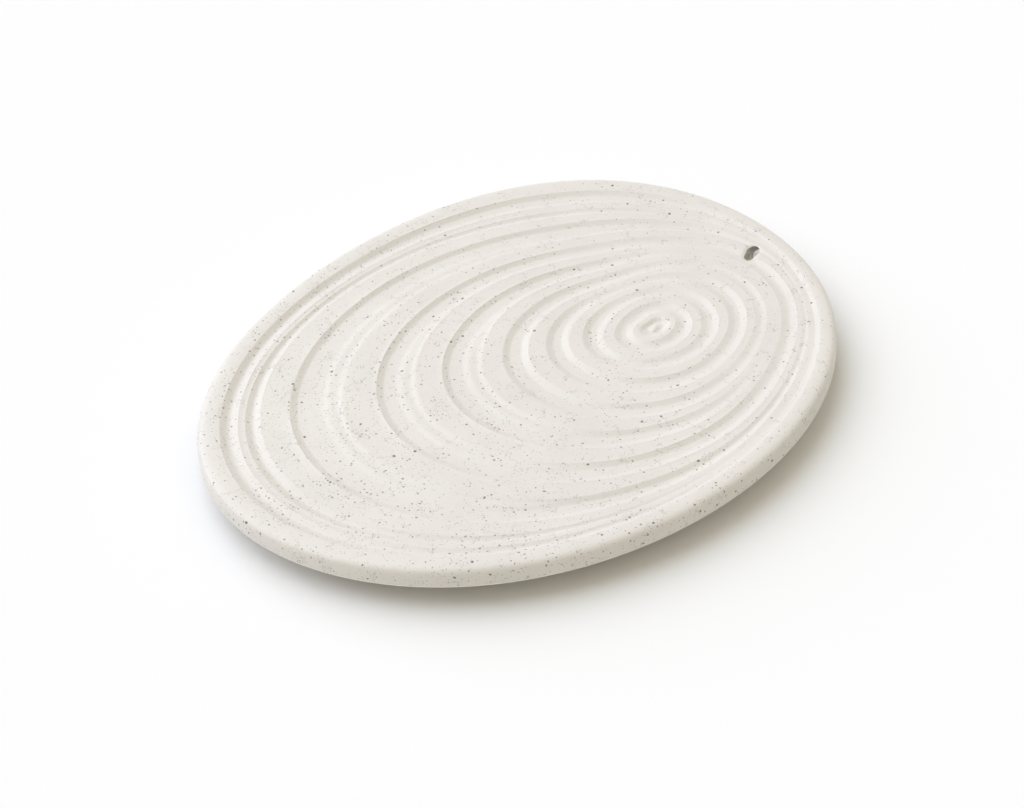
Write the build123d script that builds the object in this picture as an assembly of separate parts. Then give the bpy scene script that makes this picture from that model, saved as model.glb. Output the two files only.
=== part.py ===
"""Oval stoneware plate with off-centre ripples, a slanted incense stick hole and four pads under its foot."""

import os
from math import atan2, cos, hypot, pi, radians, sin

from build123d import *

# Plate outline, in millimetres and degrees
plate_length = 160.0
plate_width = 122.5
egg_swell = 0.016
egg_turn = 140.2
square_swell = 0.0069
square_turn = 198.7

# Rim, from its sharp lower edge up to its rounded crest
rim_height = 4.2
rim_round = 4.0
rim_fullness = 4.5
edge_rise = 1.2

# Ripples; their centre lies off the plate's middle by these shares of the rim crest's half length and half width
ripple_centre_along = 0.411
ripple_centre_across = -0.192
ripple_drop = 0.3
ripple_depth = 0.6
ripple_steepness = 0.07
slope_width = 3.2
slope_share = 0.44
down_slope_way = 0.28
up_slope_way = 0.74
least_gap = 0.8
gap_softness = 1.2
dimple_depth = 0.5
dimple_radius = 1.0

# Stick hole
hole_diameter = 3.0
hole_tilt = 50.0
hole_heading = 18.5
hole_inset = 10.8
hole_offset_y = -6.95
hole_reach = 14.0

# Foot ring and the pads stuck under it
foot_inset = 17.0
foot_depth = 3.4
foot_draft = 1.2
foot_chamfer = 0.5
pad_diameter = 7.0
pad_margin = 0.75
pad_thickness = 1.0
pad_edge_round = 0.3

# Each crest from the ripple centre outwards: its share of the way to the rim's crest at six even bearings,
# which go round from the plate's right end by its back
ripple_crests = (
    (0.110, 0.058, 0.040, 0.048, 0.069, 0.083),
    (0.250, 0.175, 0.120, 0.118, 0.185, 0.245),
    (0.410, 0.260, 0.204, 0.195, 0.300, 0.395),
    (0.578, 0.325, 0.286, 0.297, 0.450, 0.560),
    (0.690, 0.420, 0.395, 0.410, 0.575, 0.670),
    (0.730, 0.510, 0.525, 0.565, 0.685, 0.720),
    (0.880, 0.620, 0.665, 0.715, 0.830, 0.860),
    (0.930, 0.780, 0.860, 0.870, 0.895, 0.915),
    (0.960, 0.920, 0.925, 0.938, 0.945, 0.950),
)

# Smoothness of the lofted surfaces
curve_points = 32
slope_steps = 3
rim_steps = 6

# Heights above the table
foot_base = pad_thickness
underside = foot_base + foot_depth
edge_height = underside + edge_rise
rim_top = edge_height + rim_height
ripple_top = rim_top - ripple_drop

# Sizes that follow from the others
half_length = plate_length / 2
half_width = plate_width / 2
crest_half_length = half_length - rim_round
crest_half_width = half_width - rim_round
ripple_offset_x = ripple_centre_along * crest_half_length
ripple_offset_y = ripple_centre_across * crest_half_width
foot_ring_width = pad_diameter + 2 * pad_margin
pad_line_inset = foot_inset + foot_ring_width / 2
turns = [2 * pi * step / curve_points for step in range(curve_points)]


def swelling(turn):
    """How far the outline leaves a true ellipse at this turn, a little egg-shaped and a little squarish."""
    egg = egg_swell * cos(3 * turn - radians(egg_turn))
    square = square_swell * cos(4 * turn - radians(square_turn))
    return 1 + egg + square


def raw_outline(turn, long_half, cross_half):
    """Point of the swollen oval about its own middle."""
    swell = swelling(turn)
    return long_half * swell * cos(turn), cross_half * swell * sin(turn)


def middle_of(values):
    """Middle of the span that the values cover."""
    return (min(values) + max(values)) / 2


# The swelling shifts and stretches the outline a little, so it is brought back to the stated length and width
fine_turns = [2 * pi * step / 720 for step in range(720)]
edge_x = [raw_outline(turn, half_length, half_width)[0] for turn in fine_turns]
edge_y = [raw_outline(turn, half_length, half_width)[1] for turn in fine_turns]
stretch_x = plate_length / (max(edge_x) - min(edge_x))
stretch_y = plate_width / (max(edge_y) - min(edge_y))
shift_x = -middle_of(edge_x)
shift_y = -middle_of(edge_y)


def outline_point(turn, inset):
    """Point on the plate's outline, moved in by the inset."""
    x, y = raw_outline(turn, half_length - inset, half_width - inset)
    return (x + shift_x) * stretch_x, (y + shift_y) * stretch_y


def outline_ring(inset, height):
    """Closed ring at one height, parallel to the plate's outline."""
    return [(*outline_point(turn, inset), height) for turn in turns]


def crest_share(bearing, shares):
    """Share of the way to the rim on a smooth closed curve through a crest's six shares."""
    total = 0
    for place, share in enumerate(shares):
        apart = bearing - 2 * pi * place / len(shares)
        total += share * (1 + 2 * cos(apart) + 2 * cos(2 * apart) + cos(3 * apart))
    return total / len(shares)


def held_apart(gap):
    """Gap between two neighbouring crests, eased so that it stays above the least gap."""
    spare = gap - least_gap
    return least_gap + (spare + hypot(spare, gap_softness)) / 2


def ray_crests(turn):
    """Points of all the crests on the ray from the ripple centre to the rim's crest, which comes last."""
    rim_x, rim_y = outline_point(turn, rim_round)
    rim_reach = hypot(rim_x - ripple_offset_x, rim_y - ripple_offset_y)
    bearing = atan2(rim_y - ripple_offset_y, rim_x - ripple_offset_x)
    reaches = [rim_reach * crest_share(bearing, ripple_crests[0])]
    for crest in ripple_crests[1:]:
        reaches.append(reaches[-1] + held_apart(rim_reach * crest_share(bearing, crest) - reaches[-1]))
    reaches.append(rim_reach)
    for place in reversed(range(len(ripple_crests))):
        reaches[place] = reaches[place + 1] - held_apart(reaches[place + 1] - reaches[place])
    heights = [ripple_top] * len(ripple_crests) + [rim_top]
    return [
        (ripple_offset_x + reach * cos(bearing), ripple_offset_y + reach * sin(bearing), height)
        for reach, height in zip(reaches, heights)
    ]


def distance(first, second):
    """Distance between two points as seen from above."""
    return hypot(second[0] - first[0], second[1] - first[1])


def valley_point(inner, outer, slope_way, step, sunk):
    """Point on one slope of the valley between two crest points; a narrow valley is shallower."""
    gap = distance(inner, outer)
    depth = min(ripple_steepness * gap, ripple_depth)
    way = slope_way + min(slope_share, slope_width / gap) * (step / slope_steps - 0.5)
    x, y, height = (start + (end - start) * way for start, end in zip(inner, outer))
    return x, y, height - depth * sunk


def valley_rings(inner, outer):
    """Rings of the valley between two crests: its slope down, a flat floor and its slope up."""
    rings = []
    for slope_way, goes_down in ((down_slope_way, True), (up_slope_way, False)):
        for step in range(slope_steps + 1):
            fall = (1 - cos(pi * step / slope_steps)) / 2
            sunk = fall if goes_down else 1 - fall
            rings.append([valley_point(a, b, slope_way, step, sunk) for a, b in zip(inner, outer)])
    return rings


def ripple_rings():
    """Rings over the rippled top, from the dimple at the ripple centre out to the rim's crest."""
    crests = list(zip(*(ray_crests(turn) for turn in turns)))
    dimple_height = ripple_top - dimple_depth
    rings = [
        [
            (ripple_offset_x + dimple_radius * cos(turn), ripple_offset_y + dimple_radius * sin(turn), dimple_height)
            for turn in turns
        ]
    ]
    for inner, outer in zip(crests, crests[1:]):
        rings.append(inner)
        rings += valley_rings(inner, outer)
    rings.append(crests[-1])
    return rings


def rim_rings():
    """Rings of the rounded rim, from just outside its crest to its sharp lower edge."""
    rings = []
    for step in range(1, rim_steps + 1):
        lean = pi / 2 * step / rim_steps
        inset = rim_round * (1 - sin(lean) ** (2 / rim_fullness))
        rise = rim_height * abs(cos(lean)) ** (2 / rim_fullness)
        rings.append(outline_ring(inset, edge_height + rise))
    return rings


def foot_rings():
    """Rings of the underside, from the foot's top edge to its chamfered base."""
    return [
        outline_ring(foot_inset - foot_draft, underside),
        outline_ring(foot_inset, foot_base + foot_chamfer),
        outline_ring(foot_inset + foot_chamfer, foot_base),
    ]


def loft_rings(rings):
    """Solid through closed rings, with straight strips from each ring to the next."""
    wires = [Wire([Edge.make_spline([Vector(*point) for point in ring], periodic=True)]) for ring in rings]
    return Solid.make_loft(wires, ruled=True)


def make_plate():
    """Plate with its ripples, rim, foot ring and stick hole, all one piece of clay."""
    body = loft_rings(ripple_rings() + rim_rings() + foot_rings())
    recess_inset = foot_inset + foot_ring_width
    recess = loft_rings(
        [
            outline_ring(recess_inset - foot_chamfer, foot_base),
            outline_ring(recess_inset, foot_base + foot_chamfer),
            outline_ring(recess_inset + foot_draft, underside),
        ]
    )
    mouth_x = half_length - hole_inset
    mouth = Vector(mouth_x, hole_offset_y, ripple_top)
    away = Vector(cos(radians(hole_heading)), sin(radians(hole_heading)), 0)
    down = away * sin(radians(hole_tilt)) - Vector(0, 0, cos(radians(hole_tilt)))
    start = Plane(origin=mouth - down * hole_reach, z_dir=down)
    hole = Solid.make_cylinder(hole_diameter / 2, 2 * hole_reach, start)
    return body - recess - hole


def make_pad(turn):
    """Round pad with a softened lower edge, stuck under the middle of the foot ring."""
    x, y = outline_point(turn, pad_line_inset)
    pad = Solid.make_cylinder(pad_diameter / 2, pad_thickness, Plane(origin=(x, y, 0)))
    lower_edge = pad.edges().sort_by(Axis.Z)[0]
    return pad.fillet(pad_edge_round, [lower_edge])


pad_turns = {
    "pad_back_right": pi / 4,
    "pad_back_left": 3 * pi / 4,
    "pad_front_left": 5 * pi / 4,
    "pad_front_right": 7 * pi / 4,
}

os.makedirs("parts", exist_ok=True)
export_step(make_plate(), "parts/plate.step")
for pad_name, pad_turn in pad_turns.items():
    export_step(make_pad(pad_turn), f"parts/{pad_name}.step")
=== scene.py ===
"""Looks for an oval stoneware incense plate with off-centre ripples, a slanted stick hole and four pads."""

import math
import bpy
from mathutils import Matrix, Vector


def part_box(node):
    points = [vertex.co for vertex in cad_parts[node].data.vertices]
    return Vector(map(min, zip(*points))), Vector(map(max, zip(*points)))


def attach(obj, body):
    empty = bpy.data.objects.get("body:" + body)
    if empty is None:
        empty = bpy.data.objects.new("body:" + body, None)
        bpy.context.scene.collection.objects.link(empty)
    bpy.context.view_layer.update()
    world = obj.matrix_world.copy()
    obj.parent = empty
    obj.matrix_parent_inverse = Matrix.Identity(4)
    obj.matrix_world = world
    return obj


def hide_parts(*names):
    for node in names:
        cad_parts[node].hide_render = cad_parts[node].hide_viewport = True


bl_info = {
    "name": "Rippled incense plate",
    "version": (1, 0, 0),
    "blender": (4, 5, 0),
    "location": "3D View > Sidebar > Incense",
    "description": "Builds a glazed, rippled incense plate around its construction model",
    "category": "Object",
}

import bpy
import numpy as np
from bpy.props import FloatProperty, FloatVectorProperty, PointerProperty
from mathutils import Vector, noise

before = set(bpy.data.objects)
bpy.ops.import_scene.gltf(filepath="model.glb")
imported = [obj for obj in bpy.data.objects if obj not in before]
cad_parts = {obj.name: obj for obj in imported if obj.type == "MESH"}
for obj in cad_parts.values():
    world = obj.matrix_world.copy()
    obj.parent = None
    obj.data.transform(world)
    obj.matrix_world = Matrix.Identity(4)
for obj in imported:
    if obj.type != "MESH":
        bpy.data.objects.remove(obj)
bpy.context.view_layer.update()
plate_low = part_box("plate")[0]

MM = 0.001
PAD_NODES = ("pad_back_right", "pad_back_left", "pad_front_left", "pad_front_right")

# Outline: its lobes, how far they leave a true ellipse, as shares, and their phase in degrees
EGG_LOBES = 3
EGG_SWELL = 0.016
EGG_TURN = 140.2
SQUARE_LOBES = 4
SQUARE_SWELL = 0.0069
SQUARE_TURN = 198.7
OUTLINE_POINTS = 721

# Rim: how full its round is, and the small round on its lower edge in millimetres
RIM_FULLNESS = 4.5
EDGE_ROUND = 0.2

# Ripple centre, as shares of the rim crest's half length and half width
RIPPLE_CENTRE_ALONG = 0.411
RIPPLE_CENTRE_ACROSS = -0.192

# Least gap between two crests, and how softly they are held apart, in millimetres
LEAST_GAP = 0.8
GAP_SOFTNESS = 1.2

# Slopes of each valley: where their middles lie and the most that one takes up, as shares of the gap
DOWN_SLOPE_WAY = 0.28
UP_SLOPE_WAY = 0.69
SLOPE_SHARE = 0.4

# Gaps in millimetres over which a valley comes to its full depth; the outermost valleys are a little deeper
NARROW_GAP = (1.5, 9.0)
OUTER_VALLEYS = 3
OUTER_NARROW_GAP = (0.8, 6.5)
OUTER_DEEPENING = 1.08

# Ledge halfway down an inner slope: the gaps over which it comes in and how much wider it makes the slope,
# in millimetres, and the shares of the slope between which it is level
LEDGE_GAP = (11.0, 16.0)
LEDGE_WIDENING = 3.2
LEDGE_SPAN = (0.38, 0.62)

# Burr along the top of each slope: its height and the length of its waves in millimetres, its share of the
# slope, how much it varies, and the most of its height that it reaches
BURR_HEIGHT = 0.05
BURR_WAVELENGTH = 14.0
BURR_SHARE = 0.3
BURR_VARIATION = 1.6
BURR_MOST = 2

# Knob in the dimple: where the dimple is deepest, as a share of the way to the first crest, and how low the
# knob's top lies, as a share of the dimple's depth
KNOB_SHARE = 0.45
KNOB_DEPTH = 0.35

# Bend from the underside into the foot ring, in millimetres: two points by distance and rise, and its drop
BEND_START = (6.0, 0.35)
BEND_MIDDLE = (1.0, 0.02)
BEND_DROP = 0.2

# Foot's rounded corners: their radius in millimetres, and two points on the round as shares of it
FOOT_EDGE_ROUND = 0.5
FOOT_CORNER_TOP = (0.2, 1.4)
FOOT_CORNER_MIDDLE = 0.3

# Unevenness of the hand-worked top: wavelength and height of each layer and how far in from the rim it is
# whole, in millimetres, and the share of its height by which a layer lies low
UNEVEN_LAYERS = ((26.0, 0.16), (9.0, 0.07))
UNEVEN_MARGIN = 8.0
UNEVEN_SINK = 0.5

# Softened mouth of the stick hole, in millimetres; it is wider on the side where the stick leans
LIP_WIDTH = 0.5
LIP_LEAD = 0.4
LIP_DROP = 0.25
LEAST_DISTANCE = 0.001

# Pocket that lengthens the hole's mouth, in millimetres: width, place behind the bore, and depth
POCKET_WIDTH = 2.5
POCKET_SHIFT = 2.0
POCKET_DEPTH = 2.2

# Each crest from the ripple centre outwards: its share of the way to the rim's crest at six even bearings,
# which go round from the plate's right end by its back
RIPPLE_CRESTS = (
    (0.110, 0.058, 0.040, 0.048, 0.069, 0.083),
    (0.250, 0.175, 0.120, 0.118, 0.185, 0.245),
    (0.410, 0.260, 0.210, 0.187, 0.300, 0.395),
    (0.578, 0.325, 0.290, 0.284, 0.450, 0.560),
    (0.690, 0.420, 0.395, 0.393, 0.575, 0.670),
    (0.730, 0.510, 0.532, 0.548, 0.685, 0.720),
    (0.885, 0.620, 0.668, 0.695, 0.840, 0.872),
    (0.945, 0.790, 0.880, 0.890, 0.935, 0.944),
    (0.970, 0.850, 0.920, 0.940, 0.957, 0.966),
)

# Fineness of the plate's mesh: columns in degrees, which are closer together by the stick hole, and rows;
# a valley's rows lie on its shoulder, slope down, floor, slope up and shoulder
WIDE_TURN_STEP = 2.0
FINE_TURN_STEP = 0.5
FINE_TURNS = (-15.0, 6.0)
SPAN_ROWS = (3, 12, 3, 12, 3)
DIMPLE_ROWS = 14
RIM_ROWS = 20
ROUND_ROWS = 4

# Cutters of the hole: their sides, and their reach from its mouth in millimetres
BORE_SIDES = 64
HOLE_REACH = 14.0

# Edges that bend by more than this, in degrees, are drawn sharp
SHARP_ANGLE = 40.0

# Pattern that follows the rings: millimetres that stand for the way from one crest to the next
RING_STRETCH = 8.0

# Soft patterns of the glaze: waves in a millimetre, detail and roughness; the grooves are drawn out along
# the rings
NOISE_MIDDLE = 0.5
CLOUDS = (0.07, 3.0)
MOTTLE = (0.6, 4.0, 0.6)
GRAIN = (3.0, 3.0, 0.6)
STREAKS = (1.4, 4.0, 0.65)
GROOVES = (0.9, 4.0, 0.7)
GROOVE_DRAW = (1.0, 0.25, 0.25)

# Shades of the glaze as shares of its colour, the values between which a pattern comes in, and its strength
CLOUD_SHADE = 0.965
CLOUD_SPAN = (0.3, 0.7)
DULL_SHADE = 0.92
MOTTLE_SPAN = (0.5, 0.75)
MOTTLE_STRENGTH = 0.5
GRAIN_SPAN = (0.5, 0.8)
GRAIN_STRENGTH = 0.6
# Painted highlight, a pale line along the lower edge, as a share of the glaze colour
EDGE_HIGHLIGHT_SHADE = 1.18

# Iron marks along the plate: their amount at the left end, how much of it goes, and between which millimetres
SPECKLE_LEFT = 1.25
SPECKLE_LOSS = 0.85
SPECKLE_SPAN = (-60, 40)

# Specks and dashes: spacing and radius in millimetres and the share of places with one; the specks' patterns
# are shifted, also in millimetres, so that no two lie on each other
SPECK_SIZES = {
    "fine": (0.6, 0.19, 0.45),
    "medium": (1.15, 0.33, 0.42),
    "large": (2.6, 0.46, 0.45),
}
SPECK_SHIFTS = {
    "fine": (3.1, 7.7, 1.9),
    "medium": (17.3, 4.1, 8.2),
    "large": (41.9, 23.4, 5.5),
}
DASHES = (0.9, 0.16, 0.5)

# Outline of a speck in its own radii: waves and depth of its raggedness, least size and soft edge
RAGGED_WAVES = 0.4
RAGGED_DETAIL = 1.0
RAGGED_DEPTH = 1.3
SPECK_LEAST = 0.5
SPECK_EDGE = (0, 0.4)
SPECK_DRAW = (1, 1.02)

# Crowding of the specks: waves in a millimetre, the values between which a crowd comes in, and the amounts
CROWD_WAVES = 0.13
CROWD_SPAN = (0.3, 0.7)
CROWD_LEAST = 0.15
CROWD_GAIN = 1.7

# Hair marks: waves in a millimetre and detail, their thinness, and the patches that hold them
HAIRS = (0.4, 3.0)
HAIR_EDGE = (0.002, 0.012)
HAIR_PATCH_WAVES = 0.22
HAIR_PATCH_SPAN = (0.52, 0.6)

# Darkness of each kind of mark, from the lowest layer up, and the dents that some leave in the glaze
MARK_DARKNESS = {"fine": 0.5, "hairs": 0.4, "dashes": 0.55, "medium": 0.7, "large": 0.9}
MARK_DENTS = {"medium": 0.5, "large": 0.8, "hairs": 0.4}

# End of the glaze in millimetres above the lower edge: where it runs out, and a painted highlight, a pale
# line along that edge
GLAZE_END = (-0.25, -0.05)
EDGE_HIGHLIGHT_START = (-0.05, 0.0)
EDGE_HIGHLIGHT_END = (0.3, 0.4)

# Painted shade in the stick hole, in the clay colour, in millimetres: its reach beside the bore, the pocket's
# soft foot, and its upper end below the crests
HOLE_SHADE_SIDE = (0.1, 0.4)
POCKET_FOOT = 1.0
HOLE_SHADE_TOP = (-0.8, -0.1)

# Relief and gloss of the glaze: weight of each pattern, the bump's strength and height, and the roughness
MOTTLE_RELIEF = 0.5
GRAIN_RELIEF = 0.6
STREAK_RELIEF = 1.2
GROOVE_RELIEF = 2.5
GLAZE_BUMP = 0.25
GLAZE_BUMP_HEIGHT = 0.2 * MM
SATIN_VARIATION = 0.12
CLAY_ROUGHENING = 0.35
GLAZE_IOR = 1.5

# Silicone of the pads: waves in a millimetre and detail, shade, roughness, bump and gloss
SILICONE_CLOUDS = (0.8, 3.0)
SILICONE_CLOUD_SPAN = (0.35, 0.65)
SILICONE_GRAIN = 9.0
SILICONE_SHADE = 0.9
SILICONE_ROUGHNESS = 0.5
SILICONE_VARIATION = 0.15
SILICONE_BUMP = 0.2
SILICONE_BUMP_HEIGHT = 0.1 * MM
SILICONE_IOR = 1.42

# Stage
FLOOR_ROUGHNESS = 0.9
FLOOR_GLOSS = 0.0
WHITE = (1.0, 1.0, 1.0)
WHITE_STRENGTH = 1.0
OVERHEAD = math.pi / 2
SENSOR_WIDTH = 36.0

# Sockets of a Mix node that mixes colours
MIX_FACTOR = 0
MIX_FIRST = 6
MIX_SECOND = 7
MIX_RESULT = 2

# Sizes that are angles, not lengths
ANGLE_SIZES = ("hole_tilt", "hole_heading")


class PlateSizes(bpy.types.PropertyGroup):
    """Sizes of the stoneware plate"""

    length: FloatProperty(
        name="Length", description="Longest extent of the plate", default=160 * MM, unit="LENGTH"
    )
    width: FloatProperty(
        name="Width", description="Extent of the plate across its length", default=122.5 * MM, unit="LENGTH"
    )
    rim_height: FloatProperty(
        name="Rim height", description="Rim crest above the lower edge", default=4.2 * MM, unit="LENGTH"
    )
    rim_round: FloatProperty(
        name="Rim round", description="Rim crest in from the lower edge", default=4.0 * MM, unit="LENGTH"
    )
    edge_rise: FloatProperty(
        name="Edge rise", description="Lower edge above the underside", default=1.2 * MM, unit="LENGTH"
    )
    ripple_drop: FloatProperty(
        name="Ripple drop", description="Ripple crests below the rim crest", default=0.3 * MM, unit="LENGTH"
    )
    ripple_depth: FloatProperty(
        name="Ripple depth", description="Depth of a wide valley", default=0.48 * MM, unit="LENGTH"
    )
    slope_width: FloatProperty(
        name="Slope width",
        description="Widest plain slope between a crest and a valley",
        default=2.3 * MM,
        unit="LENGTH",
    )
    dimple_depth: FloatProperty(
        name="Dimple depth", description="Dimple at the ripple centre", default=0.5 * MM, unit="LENGTH"
    )
    hole_diameter: FloatProperty(
        name="Hole diameter", description="Bore that the stick stands in", default=3.0 * MM, unit="LENGTH"
    )
    hole_tilt: FloatProperty(
        name="Hole tilt",
        description="Lean of the bore from upright",
        default=math.radians(50),
        unit="ROTATION",
    )
    hole_heading: FloatProperty(
        name="Hole heading",
        description="Bearing of the bore's lower end",
        default=math.radians(18.5),
        unit="ROTATION",
    )
    hole_inset: FloatProperty(
        name="Hole inset",
        description="Bore's mouth in from the plate's end",
        default=10.8 * MM,
        unit="LENGTH",
    )
    hole_across: FloatProperty(
        name="Hole across",
        description="Bore's mouth off the plate's long axis",
        default=-6.95 * MM,
        unit="LENGTH",
    )
    foot_inset: FloatProperty(
        name="Foot inset", description="Foot ring in from the lower edge", default=17 * MM, unit="LENGTH"
    )
    foot_depth: FloatProperty(
        name="Foot depth", description="Height of the foot ring", default=3.4 * MM, unit="LENGTH"
    )
    foot_width: FloatProperty(
        name="Foot width", description="Width of the foot ring", default=8.5 * MM, unit="LENGTH"
    )
    foot_draft: FloatProperty(
        name="Foot draft", description="Lean of the foot ring's sides", default=1.2 * MM, unit="LENGTH"
    )


class GlazeLook(bpy.types.PropertyGroup):
    """Colours of the glaze and the clay"""

    glaze: FloatVectorProperty(
        name="Glaze", description="Off-white glaze", default=(0.79, 0.753, 0.696), subtype="COLOR"
    )
    speck: FloatVectorProperty(
        name="Speck", description="Iron specks in the clay", default=(0.12, 0.10, 0.065), subtype="COLOR"
    )
    # The clay colour is also painted inside the stick hole as its shade
    clay: FloatVectorProperty(
        name="Clay",
        description="Bare clay underneath and in the hole",
        default=(0.55, 0.515, 0.455),
        subtype="COLOR",
    )
    roughness: FloatProperty(
        name="Roughness", description="Satin of the glaze", default=0.34, subtype="FACTOR"
    )


class PadLook(bpy.types.PropertyGroup):
    """Colour of the pads"""

    silicone: FloatVectorProperty(
        name="Silicone", description="Milky grey of the pads", default=(0.62, 0.61, 0.58), subtype="COLOR"
    )


class StageLook(bpy.types.PropertyGroup):
    """Floor, light and camera"""

    floor: FloatVectorProperty(
        name="Floor", description="Pale floor", default=(0.985, 0.985, 0.985), subtype="COLOR"
    )
    floor_reach: FloatProperty(
        name="Floor reach", description="Floor's edge from its middle", default=3.0, unit="LENGTH"
    )
    fill: FloatVectorProperty(
        name="Fill colour",
        description="Warm light from all round and from overhead",
        default=(1.0, 0.935, 0.76),
        subtype="COLOR",
    )
    key: FloatVectorProperty(
        name="Key colour",
        description="Cool light of the key",
        default=(1.0, 1.08, 1.298),
        subtype="COLOR",
        soft_max=2.0,
    )
    key_strength: FloatProperty(
        name="Key", description="Strength of the soft key light", default=0.45
    )
    top_strength: FloatProperty(
        name="Top", description="Strength of the broad light overhead", default=0.215
    )
    fill_strength: FloatProperty(
        name="Fill", description="Strength of the light from all round", default=0.34
    )
    key_turn: FloatProperty(
        name="Key turn", description="Key light's bearing", default=math.radians(106), unit="ROTATION"
    )
    key_height: FloatProperty(
        name="Key height",
        description="Key light's angle above the floor",
        default=math.radians(45),
        unit="ROTATION",
    )
    key_spread: FloatProperty(
        name="Key spread",
        description="Angle that the key light covers",
        default=math.radians(80),
        unit="ROTATION",
    )
    top_spread: FloatProperty(
        name="Top spread",
        description="Angle that the light overhead covers",
        default=math.radians(130),
        unit="ROTATION",
    )
    view_turn: FloatProperty(
        name="View turn", description="Camera's bearing", default=math.radians(-43.53), unit="ROTATION"
    )
    view_height: FloatProperty(
        name="View height",
        description="Camera's angle above the floor",
        default=math.radians(40),
        unit="ROTATION",
    )
    view_distance: FloatProperty(
        name="View distance", description="Camera to its aim", default=0.5376, unit="LENGTH"
    )
    view_aim: FloatVectorProperty(
        name="View aim",
        description="Point that the camera looks at",
        default=(-0.0136, -0.0099, 0.011),
        unit="LENGTH",
    )
    lens: FloatProperty(name="Lens", description="Focal length in millimetres", default=85.0)


def smooth(value, low=0.0, high=1.0):
    """Soft step from 0 at low to 1 at high."""
    share = np.clip((value - low) / (high - low), 0, 1)
    return share * share * (3 - 2 * share)


def held_apart(gap):
    """Gap between two neighbouring crests, eased so that it stays above the least gap."""
    spare = gap - LEAST_GAP
    return LEAST_GAP + (spare + np.hypot(spare, GAP_SOFTNESS)) / 2


def plate_turns():
    """Turns of the mesh's columns, closer together near the stick hole."""
    start, end = FINE_TURNS
    fine = np.arange(start, end, FINE_TURN_STEP)
    wide_count = round((360 - (end - start)) / WIDE_TURN_STEP)
    wide = end + (360 - (end - start)) * np.arange(wide_count) / wide_count
    return np.radians(np.concatenate((fine, wide)))


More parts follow.
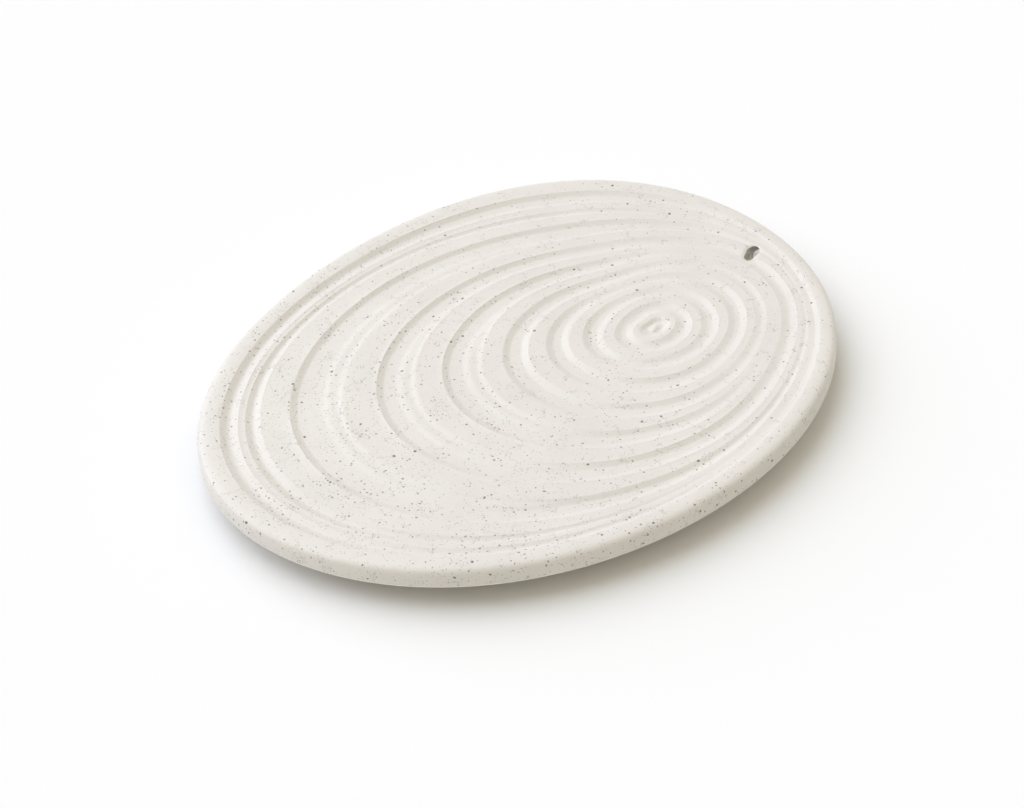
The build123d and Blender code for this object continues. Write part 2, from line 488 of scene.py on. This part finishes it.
class PlateShape:
    """The plate's surface, worked out column by column in millimetres."""

    def __init__(self, sizes):
        for key in sizes.__annotations__:
            value = getattr(sizes, key)
            setattr(self, key, value if key in ANGLE_SIZES else value / MM)
        self.turns = plate_turns()
        self.half = np.array((self.length, self.width)) / 2
        self.crest_half = self.half - self.rim_round
        self.foot_base = plate_low.z / MM
        self.underside = self.foot_base + self.foot_depth
        self.edge_height = self.underside + self.edge_rise
        self.rim_top = self.edge_height + self.rim_height
        self.ripple_top = self.rim_top - self.ripple_drop
        self.centre = self.crest_half * (RIPPLE_CENTRE_ALONG, RIPPLE_CENTRE_ACROSS)
        edge = self.oval(np.linspace(0, 2 * math.pi, OUTLINE_POINTS), self.half)
        self.shift = -(edge.min(0) + edge.max(0)) / 2
        self.stretch = 2 * self.half / (edge.max(0) - edge.min(0))
        rim = self.outline(self.rim_round) - self.centre
        self.rim_reach = np.linalg.norm(rim, axis=1)
        self.rays = rim / self.rim_reach[:, None]
        self.bearings = np.arctan2(rim[:, 1], rim[:, 0])
        self.mouth = np.array((self.half[0] - self.hole_inset, self.hole_across, self.ripple_top))
        self.heading = np.array((math.cos(self.hole_heading), math.sin(self.hole_heading), 0))
        self.bore = self.heading * math.sin(self.hole_tilt) - np.array((0, 0, math.cos(self.hole_tilt)))

    def oval(self, turns, half):
        """Swollen oval about its own middle."""
        egg = EGG_SWELL * np.cos(EGG_LOBES * turns - math.radians(EGG_TURN))
        square = SQUARE_SWELL * np.cos(SQUARE_LOBES * turns - math.radians(SQUARE_TURN))
        swell = 1 + egg + square
        return np.stack((half[0] * swell * np.cos(turns), half[1] * swell * np.sin(turns)), axis=1)

    def outline(self, inset):
        """The plate's outline, moved in by the inset."""
        return (self.oval(self.turns, self.half - inset) + self.shift) * self.stretch

    def ring(self, inset, height):
        """Closed ring at one height, parallel to the plate's outline."""
        flat = self.outline(inset)
        return np.column_stack((flat, np.full(len(flat), height)))

    def crest_reach(self, shares):
        """Distance along each ray to one crest, a smooth closed curve through its six shares."""
        total = 0
        for place, share in enumerate(shares):
            apart = self.bearings - 2 * math.pi * place / len(shares)
            total = total + share * (1 + 2 * np.cos(apart) + 2 * np.cos(2 * apart) + np.cos(3 * apart))
        return self.rim_reach * total / len(shares)

    def crests(self):
        """Crest lines from the ripple centre out to the rim."""
        reaches = [self.crest_reach(RIPPLE_CRESTS[0])]
        for crest in RIPPLE_CRESTS[1:]:
            reaches.append(reaches[-1] + held_apart(self.crest_reach(crest) - reaches[-1]))
        reaches.append(self.rim_reach)
        for place in reversed(range(len(RIPPLE_CRESTS))):
            reaches[place] = reaches[place + 1] - held_apart(reaches[place + 1] - reaches[place])
        heights = [self.ripple_top] * len(RIPPLE_CRESTS) + [self.rim_top]
        lines = []
        for reach, height in zip(reaches, heights):
            flat = self.centre + self.rays * reach[:, None]
            lines.append(np.column_stack((flat, np.full(len(flat), height))))
        return lines

    def valley(self, inner, outer, near_rim):
        """Rows of the valley between two crest lines; a wide one has a ledge halfway down its inner slope."""
        gap = np.linalg.norm((outer - inner)[:, :2], axis=1)
        none = np.zeros_like(gap)
        whole = np.ones_like(gap)
        full_depth = self.ripple_depth * (OUTER_DEEPENING if near_rim else 1)
        depth = full_depth * smooth(gap, *(OUTER_NARROW_GAP if near_rim else NARROW_GAP))
        ledge = smooth(gap, *LEDGE_GAP)
        ledge_start, ledge_end = LEDGE_SPAN
        waves = np.array([noise.noise(Vector(point) / BURR_WAVELENGTH) for point in inner])
        burr = BURR_HEIGHT / full_depth * np.clip(1 + BURR_VARIATION * waves, 0, BURR_MOST)
        down = np.minimum(SLOPE_SHARE, (self.slope_width + LEDGE_WIDENING * ledge) / gap) / 2
        up = np.minimum(SLOPE_SHARE, self.slope_width / gap) / 2
        marks = (
            none,
            DOWN_SLOPE_WAY - down,
            DOWN_SLOPE_WAY + down,
            UP_SLOPE_WAY - up,
            UP_SLOPE_WAY + up,
            whole,
        )
        rows = []
        for span, count in enumerate(SPAN_ROWS):
            for step in range(count):
                part = step / count
                way = marks[span] + (marks[span + 1] - marks[span]) * part
                plain = smooth(part)
                double = (smooth(part, 0, ledge_start) + smooth(part, ledge_end, 1)) / 2
                fall = plain + (double - plain) * ledge
                fall = fall - burr * math.sin(math.pi * min(part / BURR_SHARE, 1)) ** 2
                rise = 1 - plain - burr * math.sin(math.pi * min((1 - part) / BURR_SHARE, 1)) ** 2
                sunk = (none, fall, whole, rise, none)[span]
                row = inner + (outer - inner) * way[:, None]
                row[:, 2] -= depth * sunk
                rows.append(row)
        return rows

    def dimple(self, crest):
        """Rows from the ripple centre out to the first crest."""
        rows = []
        centre = np.array((*self.centre, self.ripple_top - self.dimple_depth))
        for step in range(1, DIMPLE_ROWS):
            part = step / DIMPLE_ROWS
            row = centre + (crest - centre) * part
            knob = KNOB_DEPTH + (1 - KNOB_DEPTH) * smooth(part, 0, KNOB_SHARE)
            depth = knob - smooth(part, KNOB_SHARE, 1)
            row[:, 2] = self.ripple_top - self.dimple_depth * depth
            rows.append(row)
        return rows

    def worked(self, points):
        """The top after handling: a little uneven, and softened round the hole's mouth."""
        points = points.copy()
        reach = np.linalg.norm(points[:, :2] - self.centre, axis=1)
        rim_reach = np.tile(self.rim_reach, len(points) // len(self.turns))
        inland = smooth(rim_reach - reach, 0, UNEVEN_MARGIN)
        for wavelength, height in UNEVEN_LAYERS:
            waves = [noise.noise(Vector(point) / wavelength) for point in points]
            points[:, 2] += height * inland * (np.array(waves) - UNEVEN_SINK)
        apart = points - self.mouth
        aside = apart - np.outer(apart @ self.bore, self.bore)
        distance = np.linalg.norm(aside, axis=1)
        lead = np.clip(-(aside @ self.heading) / np.maximum(distance, LEAST_DISTANCE), 0, 1)
        width = LIP_WIDTH + LIP_LEAD * lead
        points[:, 2] -= LIP_DROP * smooth(self.hole_diameter / 2 + width - distance, 0, width) ** 2
        return points

    def rim(self):
        """Rows of the full, rounded rim from its crest to its softened lower edge."""
        rows = []
        for step in range(RIM_ROWS):
            lean = math.pi / 2 * step / RIM_ROWS
            inset = self.rim_round * (1 - math.sin(lean) ** (2 / RIM_FULLNESS))
            rise = self.rim_height * math.cos(lean) ** (2 / RIM_FULLNESS)
            rows.append(self.ring(inset, self.edge_height + max(rise, EDGE_ROUND)))
        for step in range(1, ROUND_ROWS + 1):
            lean = math.pi / 2 * step / ROUND_ROWS
            inset = EDGE_ROUND * (1 - math.cos(lean))
            rows.append(self.ring(inset, self.edge_height + EDGE_ROUND * (1 - math.sin(lean))))
        return rows

    def foot(self):
        """Rows of the underside: in to the foot ring, round its base and into the recess."""
        outer = self.foot_inset
        inner = self.foot_inset + self.foot_width
        top_outer = outer - self.foot_draft
        top_inner = inner + self.foot_draft
        start_away, start_rise = BEND_START
        middle_away, middle_rise = BEND_MIDDLE
        corner = FOOT_EDGE_ROUND
        corner_out, corner_rise = FOOT_CORNER_TOP
        corner_middle = FOOT_CORNER_MIDDLE * corner
        profile = [
            (top_outer - start_away, self.underside + start_rise),
            (top_outer - middle_away, self.underside + middle_rise),
            (top_outer, self.underside - BEND_DROP),
            (outer - corner_out * corner, self.foot_base + corner_rise * corner),
            (outer, self.foot_base + corner),
            (outer + corner_middle, self.foot_base + corner_middle),
            (outer + corner, self.foot_base),
            (inner - corner, self.foot_base),
            (inner - corner_middle, self.foot_base + corner_middle),
            (inner, self.foot_base + corner),
            (top_inner, self.underside - BEND_DROP),
            (top_inner + middle_away, self.underside),
        ]
        return [self.ring(inset, height) for inset, height in profile]


def strip_faces(row_count, column_count):
    """Quads between neighbouring rows of closed rings."""
    row = np.arange(row_count - 1)[:, None] * column_count
    next_row = row + column_count
    here = np.arange(column_count)[None, :]
    after = (here + 1) % column_count
    quads = np.stack((row + here, next_row + here, next_row + after, row + after), axis=-1)
    return quads.reshape(-1, 4)


def ring_places(shape, points, crests):
    """For each point: how many crests out it lies, stretched, and its bearing as two values."""
    columns = len(shape.turns)
    reach = np.linalg.norm(points[:, :2] - shape.centre, axis=1).reshape(-1, columns)
    marks = np.array([np.linalg.norm(crest[:, :2] - shape.centre, axis=1) for crest in crests])
    marks = np.concatenate((np.zeros((1, columns)), marks, marks[-1:] + shape.rim_round))
    counts = np.arange(len(marks))
    out = [np.interp(reach[:, column], marks[:, column], counts) for column in range(columns)]
    places = np.empty((*reach.shape, 3))
    places[:, :, 0] = RING_STRETCH * np.array(out).T
    places[:, :, 1:] = RING_STRETCH * shape.rays
    return places.reshape(-1, 3)


def make_plate_mesh(shape):
    """Closed mesh of the plate without its stick hole, in metres."""
    crests = shape.crests()
    top_rows = shape.dimple(crests[0])
    first_outer = len(crests) - 1 - OUTER_VALLEYS
    for place, (inner, outer) in enumerate(zip(crests, crests[1:])):
        top_rows += shape.valley(inner, outer, place >= first_outer)
    side_rows = shape.rim() + shape.foot()
    ring_points = np.concatenate((shape.worked(np.concatenate(top_rows)), *side_rows))
    columns = len(shape.turns)
    row_count = len(top_rows) + len(side_rows)
    quads = strip_faces(row_count, columns)
    top = np.array((*shape.centre, ring_points[:columns, 2].mean()))
    base = np.array((0, 0, shape.underside))
    points = np.concatenate((ring_points, top[None], base[None]))
    top_index = len(ring_points)
    base_index = top_index + 1
    last = (row_count - 1) * columns
    fans = []
    for column in range(columns):
        after = (column + 1) % columns
        fans.append((top_index, column, after))
        fans.append((base_index, last + after, last + column))
    mesh = bpy.data.meshes.new("stoneware_plate")
    mesh.from_pydata((points * MM).tolist(), [], quads.tolist() + fans)
    places = mesh.attributes.new("ring_place", "FLOAT_VECTOR", "POINT")
    values = np.concatenate((ring_places(shape, ring_points, crests), np.zeros((2, 3))))
    places.data.foreach_set("vector", values.ravel())
    return mesh


def make_cutter(name, start, end, radius):
    """Round rod between two points in millimetres."""
    turns = np.arange(BORE_SIDES) * 2 * math.pi / BORE_SIDES
    along = Vector(end - start)
    side = along.orthogonal().normalized()
    other = along.normalized().cross(side)
    points = []
    for middle in (Vector(start), Vector(end)):
        points += [middle + (side * math.cos(turn) + other * math.sin(turn)) * radius for turn in turns]
    faces = [tuple(range(BORE_SIDES))[::-1], tuple(range(BORE_SIDES, 2 * BORE_SIDES))]
    for here in range(BORE_SIDES):
        after = (here + 1) % BORE_SIDES
        faces.append((here, after, BORE_SIDES + after, BORE_SIDES + here))
    mesh = bpy.data.meshes.new(name)
    mesh.from_pydata([tuple(point * MM) for point in points], [], faces)
    return bpy.data.objects.new(name, mesh)


def cut_bore(plate, shape):
    """Cuts the slanted stick hole right through the plate, with the pocket that lengthens its mouth."""
    bore_reach = shape.bore * HOLE_REACH
    bore_start = shape.mouth - bore_reach
    bore_end = shape.mouth + bore_reach
    pocket = shape.mouth - shape.heading * POCKET_SHIFT
    pocket_end = pocket + shape.bore * POCKET_DEPTH / math.cos(shape.hole_tilt)
    cutters = (
        make_cutter("bore_cutter", bore_start, bore_end, shape.hole_diameter / 2),
        make_cutter("pocket_cutter", pocket - bore_reach, pocket_end, POCKET_WIDTH / 2),
    )
    for cutter in cutters:
        bpy.context.scene.collection.objects.link(cutter)
        cut = plate.modifiers.new(cutter.name, "BOOLEAN")
        cut.operation = "DIFFERENCE"
        cut.solver = "EXACT"
        cut.object = cutter
    graph = bpy.context.evaluated_depsgraph_get()
    mesh = bpy.data.meshes.new_from_object(plate.evaluated_get(graph))
    plate.modifiers.clear()
    plate.data = mesh
    for cutter in cutters:
        bpy.data.objects.remove(cutter)


class Value:
    """A shader socket that takes part in Python sums; each sum adds its Math node."""

    def __init__(self, recipe, socket):
        self.recipe = recipe
        self.socket = socket

    def math(self, operation, first, second):
        """Adds the Math node of one sum."""
        return self.recipe.node("ShaderNodeMath", {"operation": operation}, {0: first, 1: second})

    def __add__(self, other):
        return self.math("ADD", self, other)

    def __radd__(self, other):
        return self.math("ADD", other, self)

    def __sub__(self, other):
        return self.math("SUBTRACT", self, other)

    def __rsub__(self, other):
        return self.math("SUBTRACT", other, self)

    def __mul__(self, other):
        return self.math("MULTIPLY", self, other)

    def __rmul__(self, other):
        return self.math("MULTIPLY", other, self)


class Recipe:
    """Nodes of one material or world."""

    def __init__(self, owner):
        owner.use_nodes = True
        self.tree = owner.node_tree
        self.tree.nodes.clear()

    def node(self, kind, settings=None, sockets=None, output=0):
        """Adds a node, sets it up, fills or links its sockets and gives back one of its outputs, if any."""
        node = self.tree.nodes.new(kind)
        for key, value in (settings or {}).items():
            setattr(node, key, value)
        for key, value in (sockets or {}).items():
            if isinstance(value, Value):
                self.tree.links.new(value.socket, node.inputs[key])
            else:
                node.inputs[key].default_value = value
        return Value(self, node.outputs[output]) if node.outputs else None

    def blend(self, factor, first, second):
        """Mixes two colours."""
        sockets = {MIX_FACTOR: factor, MIX_FIRST: first, MIX_SECOND: second}
        return self.node("ShaderNodeMix", {"data_type": "RGBA"}, sockets, MIX_RESULT)

    def step(self, value, low, high):
        """Soft step from 0 at low to 1 at high."""
        sockets = {"Value": value, "From Min": low, "From Max": high}
        return self.node("ShaderNodeMapRange", {"interpolation_type": "SMOOTHSTEP"}, sockets)

    def vector(self, operation, *terms, output=0):
        """Vector sum of the terms."""
        return self.node("ShaderNodeVectorMath", {"operation": operation}, dict(enumerate(terms)), output)

    def place(self, shift=(0, 0, 0)):
        """Object position in millimetres, shifted."""
        where = self.node("ShaderNodeTexCoord", output="Object")
        return self.vector("MULTIPLY_ADD", where, (1 / MM,) * 3, shift)

    def part(self, place, axis):
        """One coordinate of a place."""
        return self.node("ShaderNodeSeparateXYZ", None, {0: place}, axis)

    def noise(self, place, scale, detail=2.0, roughness=0.5):
        """Soft noise from 0 to 1."""
        sockets = {"Vector": place, "Scale": scale, "Detail": detail, "Roughness": roughness}
        return self.node("ShaderNodeTexNoise", None, sockets)

    def bump(self, height, strength, distance):
        """Normal of a bumpy surface."""
        sockets = {"Strength": strength, "Distance": distance, "Height": height}
        return self.node("ShaderNodeBump", None, sockets)

    def finish(self, sockets):
        """Ends a material in one shader with these sockets."""
        surface = self.node("ShaderNodeBsdfPrincipled", None, sockets)
        self.node("ShaderNodeOutputMaterial", None, {"Surface": surface})


def opaque(colour):
    """Colour with full alpha."""
    return (*colour, 1.0)


def shaded(colour, share):
    """Colour made darker or paler, with full alpha."""
    return opaque(min(share * part, 1) for part in colour)


def specks(recipe, place, spacing, radius, keep):
    """Mask of ragged specks, spaced and sized in the place's units; keep is the share of places with one."""
    ragged = {"Vector": place, "Scale": RAGGED_WAVES / radius, "Detail": RAGGED_DETAIL}
    wander = recipe.node("ShaderNodeTexNoise", None, ragged, "Color")
    bent = recipe.vector("MULTIPLY_ADD", wander, (RAGGED_DEPTH * radius,) * 3, place)
    cell = {"Vector": bent, "Scale": 1 / spacing}
    distance = recipe.node("ShaderNodeTexVoronoi", None, cell, "Distance")
    chance = recipe.node("ShaderNodeTexVoronoi", None, cell, "Color")
    drawn = recipe.node("ShaderNodeSeparateColor", None, {0: chance}, "Red")
    size = recipe.node("ShaderNodeSeparateColor", None, {0: chance}, "Green")
    crowd = recipe.step(recipe.noise(place, CROWD_WAVES), *CROWD_SPAN)
    present = recipe.step(drawn + keep * (CROWD_LEAST + CROWD_GAIN * crowd), *SPECK_DRAW)
    edge = (SPECK_LEAST + (1 - SPECK_LEAST) * size) - distance * (spacing / radius)
    return recipe.step(edge, *SPECK_EDGE) * present


def hairs(recipe, place):
    """Mask of short, thin, winding marks."""
    winding = recipe.noise(place, *HAIRS)
    away = recipe.node("ShaderNodeMath", {"operation": "ABSOLUTE"}, {0: winding - NOISE_MIDDLE})
    patches = recipe.step(recipe.noise(place, HAIR_PATCH_WAVES), *HAIR_PATCH_SPAN)
    return (1 - recipe.step(away, *HAIR_EDGE)) * patches


def iron_marks(recipe, place, rings):
    """Masks of the specks, dashes and hairs by kind, thicker towards the plate's left end."""
    amount = SPECKLE_LEFT - SPECKLE_LOSS * recipe.step(recipe.part(place, "X"), *SPECKLE_SPAN)
    marks = {"hairs": hairs(recipe, place)}
    for kind, (spacing, radius, share) in SPECK_SIZES.items():
        shifted = recipe.place(SPECK_SHIFTS[kind])
        marks[kind] = specks(recipe, shifted, spacing, radius, share * amount)
    spacing, radius, share = DASHES
    marks["dashes"] = specks(recipe, rings, spacing, radius, share * amount)
    return marks


def painted_hole_shade(recipe, place, shape):
    """Mask of the painted shade inside the stick hole."""
    apart = recipe.vector("SUBTRACT", place, shape.mouth)
    across = recipe.vector("CROSS_PRODUCT", apart, shape.bore)
    aside = recipe.vector("LENGTH", across, output="Value")
    below_top = recipe.part(place, "Z") - shape.ripple_top
    widening = recipe.step(below_top, -POCKET_DEPTH - POCKET_FOOT, -POCKET_DEPTH) * (POCKET_SHIFT / 2)
    inside = 1 - recipe.step(aside - widening - shape.hole_diameter / 2, *HOLE_SHADE_SIDE)
    return inside * (1 - recipe.step(below_top, *HOLE_SHADE_TOP))


def glaze_colour(recipe, look, place, mottle, grain):
    """Off-white of the glaze, cloudy, mottled and grainy."""
    clouds = recipe.step(recipe.noise(place, *CLOUDS), *CLOUD_SPAN)
    dull = shaded(look.glaze, DULL_SHADE)
    colour = recipe.blend(clouds, shaded(look.glaze, CLOUD_SHADE), opaque(look.glaze))
    colour = recipe.blend(recipe.step(mottle, *MOTTLE_SPAN) * MOTTLE_STRENGTH, colour, dull)
    return recipe.blend(recipe.step(grain, *GRAIN_SPAN) * GRAIN_STRENGTH, colour, dull)


def glaze_relief(recipe, rings, mottle, grain, marks):
    """Bumps of the glaze: its grain, streaks and grooves along the rings, and the dents of the marks."""
    streaks = recipe.noise(rings, *STREAKS)
    grooves = recipe.noise(recipe.vector("MULTIPLY", rings, GROOVE_DRAW), *GROOVES)
    height = MOTTLE_RELIEF * mottle + GRAIN_RELIEF * grain + STREAK_RELIEF * streaks + GROOVE_RELIEF * grooves
    for kind, dent in MARK_DENTS.items():
        height = height - dent * marks[kind]
    return recipe.bump(height, GLAZE_BUMP, GLAZE_BUMP_HEIGHT)


def make_glaze(look, shape):
    """Satin off-white glaze over speckled clay, which is bare underneath; the clay colour is also painted
    into the hole as shade, and a pale line along the lower edge as a highlight.
    """
    material = bpy.data.materials.new("speckled_glaze")
    recipe = Recipe(material)
    place = recipe.place()
    rings = recipe.node("ShaderNodeAttribute", {"attribute_name": "ring_place"}, output="Vector")
    mottle = recipe.noise(place, *MOTTLE)
    grain = recipe.noise(place, *GRAIN)
    marks = iron_marks(recipe, place, rings)
    colour = glaze_colour(recipe, look, place, mottle, grain)
    for kind, darkness in MARK_DARKNESS.items():
        colour = recipe.blend(marks[kind] * darkness, colour, opaque(look.speck))
    above_edge = recipe.part(place, "Z") - shape.edge_height
    # Painted highlight: a paler line of glaze colour just above the lower edge
    edge_highlight = recipe.step(above_edge, *EDGE_HIGHLIGHT_START) - recipe.step(above_edge, *EDGE_HIGHLIGHT_END)
    bare = 1 - recipe.step(above_edge, *GLAZE_END)
    colour = recipe.blend(edge_highlight, colour, shaded(look.glaze, EDGE_HIGHLIGHT_SHADE))
    colour = recipe.blend(bare, colour, opaque(look.clay))
    # Painted shade: the clay colour inside the stick hole, below the crests
    colour = recipe.blend(painted_hole_shade(recipe, place, shape), colour, opaque(look.clay))
    roughness = look.roughness + SATIN_VARIATION * (mottle - NOISE_MIDDLE) + CLAY_ROUGHENING * bare
    relief = glaze_relief(recipe, rings, mottle, grain, marks)
    recipe.finish({"Base Color": colour, "Roughness": roughness, "Normal": relief, "IOR": GLAZE_IOR})
    return material


def make_silicone(look):
    """Milky silicone with a faint moulded grain."""
    material = bpy.data.materials.new("milky_silicone")
    recipe = Recipe(material)
    place = recipe.place()
    clouds = recipe.step(recipe.noise(place, *SILICONE_CLOUDS), *SILICONE_CLOUD_SPAN)
    grain = recipe.noise(place, SILICONE_GRAIN)
    colour = recipe.blend(clouds, opaque(look.silicone), shaded(look.silicone, SILICONE_SHADE))
    roughness = SILICONE_ROUGHNESS + SILICONE_VARIATION * (grain - NOISE_MIDDLE)
    relief = recipe.bump(grain, SILICONE_BUMP, SILICONE_BUMP_HEIGHT)
    recipe.finish({"Base Color": colour, "Roughness": roughness, "Normal": relief, "IOR": SILICONE_IOR})
    return material


def make_floor_material(look):
    """Plain pale floor."""
    material = bpy.data.materials.new("pale_floor")
    sockets = {
        "Base Color": opaque(look.floor),
        "Roughness": FLOOR_ROUGHNESS,
        "Specular IOR Level": FLOOR_GLOSS,
    }
    Recipe(material).finish(sockets)
    return material


def make_world(look):
    """Even light from all round, seen as plain white."""
    world = bpy.data.worlds.new("studio")
    recipe = Recipe(world)
    backgrounds = []
    for colour, strength in ((look.fill, look.fill_strength), (WHITE, WHITE_STRENGTH)):
        sockets = {"Color": opaque(colour), "Strength": strength}
        backgrounds.append(recipe.node("ShaderNodeBackground", None, sockets))
    light, white = backgrounds
    seen = 0
    for kind in ("Is Camera Ray", "Is Glossy Ray", "Is Transmission Ray"):
        seen = seen + recipe.node("ShaderNodeLightPath", output=kind)
    surface = recipe.node("ShaderNodeMixShader", None, {0: seen, 1: light, 2: white})
    recipe.node("ShaderNodeOutputWorld", None, {"Surface": surface})
    return world


def place_lamp(name, colour, strength, turn, height, spread):
    """Soft light from far away, with the strength that it gives a level surface."""
    light = bpy.data.lights.new(name, "SUN")
    light.energy = strength * math.pi / math.sin(height)
    light.angle = spread
    light.color = colour
    lamp = bpy.data.objects.new(name, light)
    bpy.context.scene.collection.objects.link(lamp)
    level = math.cos(height)
    toward = Vector((level * math.cos(turn), level * math.sin(turn), math.sin(height)))
    lamp.rotation_euler = toward.to_track_quat("Z", "Y").to_euler()


def place_camera(look):
    """Camera on its aim, and the scene's own."""
    camera = bpy.data.cameras.new("camera")
    camera.lens = look.lens
    camera.sensor_width = SENSOR_WIDTH
    camera.sensor_fit = "HORIZONTAL"
    view = bpy.data.objects.new("camera", camera)
    bpy.context.scene.collection.objects.link(view)
    level = math.cos(look.view_height)
    back = Vector(
        (level * math.sin(look.view_turn), -level * math.cos(look.view_turn), math.sin(look.view_height))
    )
    view.location = Vector(look.view_aim) + back * look.view_distance
    view.rotation_euler = back.to_track_quat("Z", "Y").to_euler()
    bpy.context.scene.camera = view


def place_floor(look):
    """Wide floor under the part."""
    corners = [
        (-look.floor_reach, -look.floor_reach, 0),
        (look.floor_reach, -look.floor_reach, 0),
        (look.floor_reach, look.floor_reach, 0),
        (-look.floor_reach, look.floor_reach, 0),
    ]
    mesh = bpy.data.meshes.new("floor")
    mesh.from_pydata(corners, [], [(0, 1, 2, 3)])
    mesh.materials.append(make_floor_material(look))
    floor = bpy.data.objects.new("floor", mesh)
    bpy.context.scene.collection.objects.link(floor)


class INCENSE_OT_make_plate(bpy.types.Operator):
    """Build the rippled stoneware plate with its stick hole and glaze"""

    bl_idname = "incense.make_plate"
    bl_label = "Make plate"

    def execute(self, context):
        shape = PlateShape(context.scene.incense_plate)
        plate = bpy.data.objects.new("stoneware_plate", make_plate_mesh(shape))
        context.scene.collection.objects.link(plate)
        cut_bore(plate, shape)
        mesh = plate.data
        mesh.shade_smooth()
        mesh.set_sharp_from_angle(angle=math.radians(SHARP_ANGLE))
        mesh.materials.clear()
        mesh.materials.append(make_glaze(context.scene.incense_glaze, shape))
        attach(plate, "root")
        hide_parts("plate")
        return {"FINISHED"}


class INCENSE_OT_finish_pads(bpy.types.Operator):
    """Give the four pads their silicone"""

    bl_idname = "incense.finish_pads"
    bl_label = "Finish pads"

    def execute(self, context):
        silicone = make_silicone(context.scene.incense_pads)
        for name in PAD_NODES:
            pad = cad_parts[name]
            pad.data.materials.clear()
            pad.data.materials.append(silicone)
        return {"FINISHED"}


class INCENSE_OT_set_stage(bpy.types.Operator):
    """Set up the floor, the light and the camera"""

    bl_idname = "incense.set_stage"
    bl_label = "Set stage"

    def execute(self, context):
        look = context.scene.incense_stage
        place_floor(look)
        place_lamp("key", look.key, look.key_strength, look.key_turn, look.key_height, look.key_spread)
        place_lamp("top", look.fill, look.top_strength, 0, OVERHEAD, look.top_spread)
        place_camera(look)
        context.scene.world = make_world(look)
        context.scene.view_settings.view_transform = "Standard"
        return {"FINISHED"}


class INCENSE_PT_panel(bpy.types.Panel):
    """Lists the plate's steps, sizes and looks"""

    bl_idname = "INCENSE_PT_panel"
    bl_label = "Incense plate"
    bl_space_type = "VIEW_3D"
    bl_region_type = "UI"
    bl_category = "Incense"

    def draw(self, context):
        for operator in OPERATORS:
            self.layout.operator(operator.bl_idname)
        for group in LOOKS:
            values = getattr(context.scene, group)
            for key in values.__annotations__:
                self.layout.prop(values, key)


LOOKS = {
    "incense_plate": PlateSizes,
    "incense_glaze": GlazeLook,
    "incense_pads": PadLook,
    "incense_stage": StageLook,
}
OPERATORS = (INCENSE_OT_make_plate, INCENSE_OT_finish_pads, INCENSE_OT_set_stage)


def register():
    """Adds the classes and the scene's groups of values."""
    for item in (*LOOKS.values(), *OPERATORS, INCENSE_PT_panel):
        bpy.utils.register_class(item)
    for name, group in LOOKS.items():
        setattr(bpy.types.Scene, name, PointerProperty(type=group))


def unregister():
    """Takes the classes and the scene's groups of values away."""
    for name in LOOKS:
        delattr(bpy.types.Scene, name)
    for item in reversed((*LOOKS.values(), *OPERATORS, INCENSE_PT_panel)):
        bpy.utils.unregister_class(item)


def main():
    """Builds the plate, its pads' finish and the stage."""
    register()
    bpy.ops.incense.make_plate()
    bpy.ops.incense.finish_pads()
    bpy.ops.incense.set_stage()


if __name__ == "__main__":
    main()
